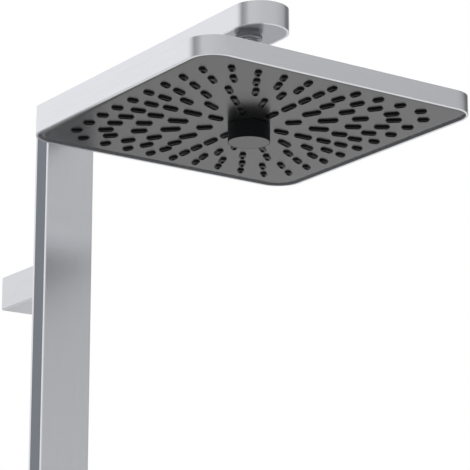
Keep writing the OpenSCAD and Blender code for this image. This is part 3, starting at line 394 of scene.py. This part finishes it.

# Neck: collar, union nut and the ball joint's socket, turned from brass and plated. The
# collar's plating is darkened with painted shade, where it sits in the gap under the arm,
# and fine turning marks run round them all.
ROUND_Z = (300, 300, 2600)
# The collar's darker silver is painted shade from the gap under the arm.
COLLAR_PAINTED_SHADE_SILVER = (0.40, 0.405, 0.425)
NUT_SILVER = (0.70, 0.705, 0.725)
turned_silver = satin_metal("turned_silver", SILVER, roughness=0.2, lines_per_m=ROUND_Z)
collar_painted_shade_silver = satin_metal("collar_painted_shade_silver", COLLAR_PAINTED_SHADE_SILVER, roughness=0.36, lines_per_m=ROUND_Z)
nut_silver = satin_metal("nut_silver", NUT_SILVER, roughness=0.36, lines_per_m=ROUND_Z)
softened("outlet_collar", collar_painted_shade_silver, "column", radius=0.0002)
softened("union_nut", nut_silver, "column", radius=0.0003)
softened("socket_nut", turned_silver, "head", radius=0.0004)
dress(["ball_stem", "socket_body"], turned_silver)

# Outlet: a brass block inside the arm whose threaded pipe comes out through the collar.
# The block is the CAD solid cut off at the arm's underside; the pipe below it is a core
# with a thread ridge wound round it.
HEAD_X, HEAD_Y = frame["record"]["behaviour"]["joints"][0]["pos_m"][:2]
BRASS = (0.78, 0.60, 0.30)
PIPE_STEEL = (0.66, 0.665, 0.68)
EVEN_GRAIN = (600, 600, 600)
RIM_THICKNESS = 0.00002
PIPE_BORE_R = 0.007
PIPE_MOUTH = 0.0004
PIPE_CHAMFER = 0.0005
PIPE_STEPS = 48
THREAD_CREST_R = 0.01048
THREAD_ROOT_R = 0.0094
THREAD_PITCH = 0.001814
THREAD_STEPS = 32
# The ridge's foot lies a little inside the core, and its crest is cut flat.
RIDGE_SINK = 0.0002
CREST_CUT = 0.0001
# Shares of the pitch: the ridge's half width at its foot and at its crest, and its start.
FOOT_SHARE = 0.42
CREST_SHARE = 0.09
START_SHARE = 0.6


def cut_off_below(bm, z):
    """Takes away what lies below a height."""
    bmesh.ops.bisect_plane(bm, geom=bm.verts[:] + bm.edges[:] + bm.faces[:],
                           plane_co=(0, 0, z), plane_no=(0, 0, -1), clear_outer=True)


raw_brass = satin_metal("raw_brass", BRASS, roughness=0.35, lines_per_m=EVEN_GRAIN)
pipe_steel = satin_metal("pipe_plating", PIPE_STEEL, roughness=0.36, lines_per_m=ROUND_Z)
pipe_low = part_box("outlet_body")[0][2]
pipe_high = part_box("arm_tray")[0][2]

outlet_bm = merged_copy("outlet_body")
cut_off_below(outlet_bm, pipe_high)
outlet_block = finish_piece("outlet_block", outlet_bm, raw_brass, "column", ["outlet_body"])
outlet_wall = outlet_block.modifiers.new("closed_rim", "SOLIDIFY")
outlet_wall.thickness = RIM_THICKNESS
outlet_wall.offset = -1

pipe_bm = bmesh.new()
pipe_wall = [(PIPE_BORE_R, pipe_low + PIPE_MOUTH), (PIPE_BORE_R + PIPE_MOUTH, pipe_low),
             (THREAD_ROOT_R - PIPE_CHAMFER, pipe_low), (THREAD_ROOT_R, pipe_low + PIPE_CHAMFER),
             (THREAD_ROOT_R, pipe_high), (PIPE_BORE_R, pipe_high)]
ring = [pipe_bm.verts.new((HEAD_X + r, HEAD_Y, z)) for r, z in pipe_wall]
outline = [pipe_bm.edges.new((ring[i], ring[(i + 1) % len(ring)])) for i in range(len(ring))]
bmesh.ops.spin(pipe_bm, geom=ring + outline, cent=(HEAD_X, HEAD_Y, 0), axis=(0, 0, 1),
               angle=2 * math.pi, steps=PIPE_STEPS, use_merge=True)
bmesh.ops.recalc_face_normals(pipe_bm, faces=pipe_bm.faces)
finish_piece("outlet_pipe_core", pipe_bm, pipe_steel, "column")

thread_turns = int((pipe_high - pipe_low) / THREAD_PITCH) - 1
thread_start = pipe_low + START_SHARE * THREAD_PITCH
tooth = [(THREAD_ROOT_R - RIDGE_SINK, -FOOT_SHARE), (THREAD_CREST_R - CREST_CUT, -CREST_SHARE),
         (THREAD_CREST_R - CREST_CUT, CREST_SHARE), (THREAD_ROOT_R - RIDGE_SINK, FOOT_SHARE)]
ridge_bm = bmesh.new()
tooth_corners = [ridge_bm.verts.new((HEAD_X + r, HEAD_Y, thread_start + share * THREAD_PITCH))
                 for r, share in tooth]
tooth_face = ridge_bm.faces.new(tooth_corners)
bmesh.ops.spin(ridge_bm, geom=[tooth_face], cent=(HEAD_X, HEAD_Y, 0), axis=(0, 0, 1),
               dvec=(0, 0, THREAD_PITCH / THREAD_STEPS),
               angle=2 * math.pi * thread_turns, steps=THREAD_STEPS * thread_turns)
bmesh.ops.recalc_face_normals(ridge_bm, faces=ridge_bm.faces)
finish_piece("outlet_pipe_thread", ridge_bm, pipe_steel, "column")

# Water way: brass fittings and tubes inside column and arm. Stainless screws hold them
# and the rest of the object together.
STAINLESS = (0.66, 0.66, 0.67)
FINE_GRAIN = (900, 900, 900)
dress(["corner_block", "selector_spindle", "riser_tube", "arm_water_tube", "foot_inlet"], raw_brass)
screw_steel = satin_metal("screw_steel", STAINLESS, roughness=0.3, lines_per_m=FINE_GRAIN)
dress([name for name in nodes if "screw" in name], screw_steel)

# Head housing: a pressed and welded stainless shell with a thin rim, brushed round its
# sides, which holds the whole spray unit.
HEAD_HALF = 0.150
LEVEL_LINES = (30, 30, 1500)
# The outer edge of the top lies a touch further out than in the CAD solid, so that no
# bright chamfer shows there.
TOP_EDGE_OUT = 1.002
TOP_EDGE_DEPTH = 0.0001
TOP_EDGE_REACH = 0.9 * HEAD_HALF

housing_silver = satin_metal("housing_silver", SILVER, roughness=0.22,
                             lines_per_m=LEVEL_LINES, depth=0.15)
head_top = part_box("head_housing")[1][2]
housing_bm = merged_copy("head_housing")
top_edge = [vert for vert in housing_bm.verts
            if vert.co.z > head_top - TOP_EDGE_DEPTH
            and max(abs(vert.co.x), abs(vert.co.y - HEAD_Y)) > TOP_EDGE_REACH]
bmesh.ops.scale(housing_bm, verts=top_edge, vec=(TOP_EDGE_OUT, TOP_EDGE_OUT, 1),
                space=Matrix.Translation((-HEAD_X, -HEAD_Y, 0)))
housing = finish_piece("head_housing_finished", housing_bm, housing_silver, "head",
                       ["head_housing"], EDGE_ANGLE)
rounded_edges(housing, radius=0.00012, steps=2)

# Spray plate: a grey moulding with softly falling edges and 120 windows for the pads,
# glossy enough to mirror the knob.
FACE_GREY = (0.011, 0.0113, 0.0117)
SKIN_NOISE = (2600, 3)
skin_grain = grain_group("skin_grain", grain=SKIN_NOISE, grain_range=(0, 1),
                         shade_range=(0.94, 1.06), cloud=SKIN_NOISE, stray=0.05)


def moulded(name, color, roughness, depth=0.15, specular=0.5, ior=None):
    """A moulded plastic, rubber or ceramic with a fine skin."""
    mat, shader = grained(name, skin_grain, color, roughness, depth)
    shader.inputs["Specular IOR Level"].default_value = specular
    if ior:
        shader.inputs["IOR"].default_value = ior
    return mat


face_grey = moulded("spray_face_grey", FACE_GREY, roughness=0.22, depth=0.1, specular=0.86)
finish_piece("spray_plate_finished", merged_copy("spray_plate"), face_grey, "head", ["spray_plate"])

# Nozzle mat: one black silicone moulding. Its sheet lies on the plate's back and is cut
# from the CAD solid; each of its 120 pads is a capsule with a soft shoulder, a raised lip
# round a shallow trough and a nozzle tip at both ends of the trough.
NOZZLE_BLACK = (0.0033, 0.0035, 0.0038)
FACE_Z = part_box("spray_plate")[0][2]
SHEET_THICKNESS = 0.0015
SHEET_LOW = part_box("water_tray")[0][2] - SHEET_THICKNESS
SHEET_CUT = 0.00005
# The rings of pads from the outside in, as shares of the head's half width: how far out a
# ring's sides lie, the step between pads, how far a side's ends draw in, where the pad on
# the diagonal lies, and a pad's length. The last number counts the pads on each side of a
# side's middle one.
RING_SHARES = [(0.838, 0.1727, 0.0307, 0, 0.0767, 4),
               (0.708, 0.145, 0.0413, 0, 0.1, 4),
               (0.572, 0.168, 0.028, 0.485, 0.1067, 2),
               (0.413, 0.179, 0.0127, 0.345, 0.1307, 1),
               (0.245, 0, 0, 0.195, 0.1067, 0)]
PAD_W = 0.0064
PAD_RISE = 0.0009
PAD_SINK = 0.0003
PAD_SMOOTH_ANGLE = 50
SHOULDER_DROP = 0.0002
SHOULDER_LEFT = 0.0001
LIP_W = 0.0050
LIP_RISE = 0.0019
LIP_EDGE = 0.0002
LIP_TOP = 0.0009
TROUGH_DEPTH = 0.0012
TIP_R = 0.0009
TIP_RISE = 0.0006
BORE_R = 0.00065
CAPSULE_SEGMENTS = 12
CAPSULE_TURN = math.pi / CAPSULE_SEGMENTS
TIP_SEGMENTS = 10


def faced_down(made):
    """The face of a new flat shape, turned to look down."""
    face = made["verts"][0].link_faces[0]
    if face.normal.z > 0:
        face.normal_flip()
    face.normal_update()
    return face


def capsule_face(bm, length, width, z):
    """A flat capsule, its long axis along X: a circle drawn apart into two half rounds."""
    made = bmesh.ops.create_circle(bm, cap_ends=True, segments=CAPSULE_SEGMENTS, radius=width / 2,
                                   matrix=Matrix.Rotation(CAPSULE_TURN, 4, "Z"))
    for vert in made["verts"]:
        vert.co.x += math.copysign((length - width) / 2, vert.co.x)
        vert.co.y /= math.cos(CAPSULE_TURN)
        vert.co.z = z
    return faced_down(made)


def grow(bm, face, inwards, downwards):
    """Steps an end face in or down and returns the new end face."""
    if inwards:
        bmesh.ops.inset_region(bm, faces=[face], thickness=inwards, depth=0)
    else:
        face = bmesh.ops.extrude_discrete_faces(bm, faces=[face])["faces"][0]
    if downwards:
        bmesh.ops.translate(bm, verts=face.verts, vec=(0, 0, -downwards))
    return face


def pad_mesh(length):
    """One pad with its foot in the sheet, head down, middle at the origin."""
    bm = bmesh.new()
    foot = SHEET_LOW - FACE_Z + PAD_SINK
    face = capsule_face(bm, length, PAD_W, foot)
    face = grow(bm, face, 0, foot + PAD_RISE - SHOULDER_DROP)
    face = grow(bm, face, (PAD_W - LIP_W) / 2 - SHOULDER_LEFT, SHOULDER_DROP)
    face = grow(bm, face, 0, LIP_RISE - PAD_RISE - LIP_EDGE)
    face = grow(bm, face, LIP_EDGE, LIP_EDGE)
    face = grow(bm, face, LIP_TOP, 0)
    grow(bm, face, LIP_EDGE, -TROUGH_DEPTH)
    for side in (-1, 1):
        tip_place = (side * (length - PAD_W) / 2, 0, TROUGH_DEPTH - LIP_RISE)
        tip = bmesh.ops.create_circle(bm, cap_ends=True, segments=TIP_SEGMENTS, radius=TIP_R,
                                      matrix=Matrix.Translation(tip_place))
        end = grow(bm, faced_down(tip), 0, TIP_RISE)
        end = grow(bm, end, TIP_R - BORE_R, 0)
        grow(bm, end, 0, -TIP_RISE)
    mesh = bpy.data.meshes.new("pad_pattern")
    bm.to_mesh(mesh)
    bm.free()
    return mesh


def pad_places(reach, step, draw_in, diagonal, beside):
    """Middle and direction of every pad of a ring, seen from the middle of the head."""
    spots = []
    for k in range(-beside, beside + 1):
        spots.append((k * step, reach - draw_in * (abs(k) / max(beside, 1)) ** 3))
    if diagonal:
        spots.append((diagonal, diagonal))
    places = []
    for quarter in range(4):
        for x, y in spots:
            spot = Matrix.Rotation(math.radians(90 * quarter), 4, "Z") @ Vector((x, y, 0))
            places.append((spot * HEAD_HALF, math.atan2(spot.y, spot.x)))
    return places


nozzle_black = moulded("nozzle_black", NOZZLE_BLACK, roughness=0.26, depth=0.05, ior=1.27)
sheet_bm = merged_copy("nozzle_mat")
cut_off_below(sheet_bm, SHEET_LOW + SHEET_CUT)
finish_piece("nozzle_sheet", sheet_bm, nozzle_black, "head", ["nozzle_mat"])

pads_bm = bmesh.new()
for reach, step, draw_in, diagonal, length, beside in RING_SHARES:
    pattern = pad_mesh(length * HEAD_HALF)
    for spot, angle in pad_places(reach, step, draw_in, diagonal, beside):
        known = len(pads_bm.verts)
        pads_bm.from_mesh(pattern)
        pads_bm.verts.ensure_lookup_table()
        place = Matrix.Translation((HEAD_X + spot.x, HEAD_Y + spot.y, FACE_Z))
        bmesh.ops.transform(pads_bm, matrix=place @ Matrix.Rotation(angle, 4, "Z"),
                            verts=pads_bm.verts[known:])
    bpy.data.meshes.remove(pattern)
finish_piece("nozzle_pads", pads_bm, nozzle_black, "head", (), PAD_SMOOTH_ANGLE)

# Selector knob: a black moulded cup with a grey disc let into its end. It turns on a
# brass spindle and a low-friction ring.
KNOB_BLACK = (0.0060, 0.0082, 0.0090)
DISC_GREY = (0.020, 0.0205, 0.021)
knob_black = moulded("knob_black", KNOB_BLACK, roughness=0.5, depth=0.1, specular=0.15)
softened("selector_knob", knob_black, "selector", radius=0.0002)
disc_grey = moulded("knob_disc_grey", DISC_GREY, roughness=0.2, depth=0.1)
softened("knob_end_disc", disc_grey, "selector", radius=0.0002)

# Parts out of sight: the moulded water tray behind the mat, black seals, plastic liners,
# filters, rings and clips, and the ceramic discs.
TRAY_BLACK = (0.008, 0.009, 0.009)
SEAL_BLACK = (0.012, 0.012, 0.012)
PLASTIC_WHITE = (0.8, 0.8, 0.77)
CERAMIC_WHITE = (0.82, 0.80, 0.74)
tray_black = moulded("tray_black", TRAY_BLACK, roughness=0.45, specular=0.35)
dress(["water_tray"], tray_black)
seal_black = moulded("seal_black", SEAL_BLACK, roughness=0.6)
dress(["foot_o_ring", "corner_o_rings", "outlet_o_ring", "union_washer", "socket_o_ring",
       "spindle_o_ring", "lower_ball_liner"], seal_black)
white_plastic = moulded("white_plastic", PLASTIC_WHITE, roughness=0.5)
dress(["riser_clips", "inlet_filter", "flow_regulator", "upper_ball_liner", "knob_glide_ring"],
      white_plastic)
ceramic = moulded("ceramic", CERAMIC_WHITE, roughness=0.2)
dress(["distributor_disc", "selector_disc"], ceramic)
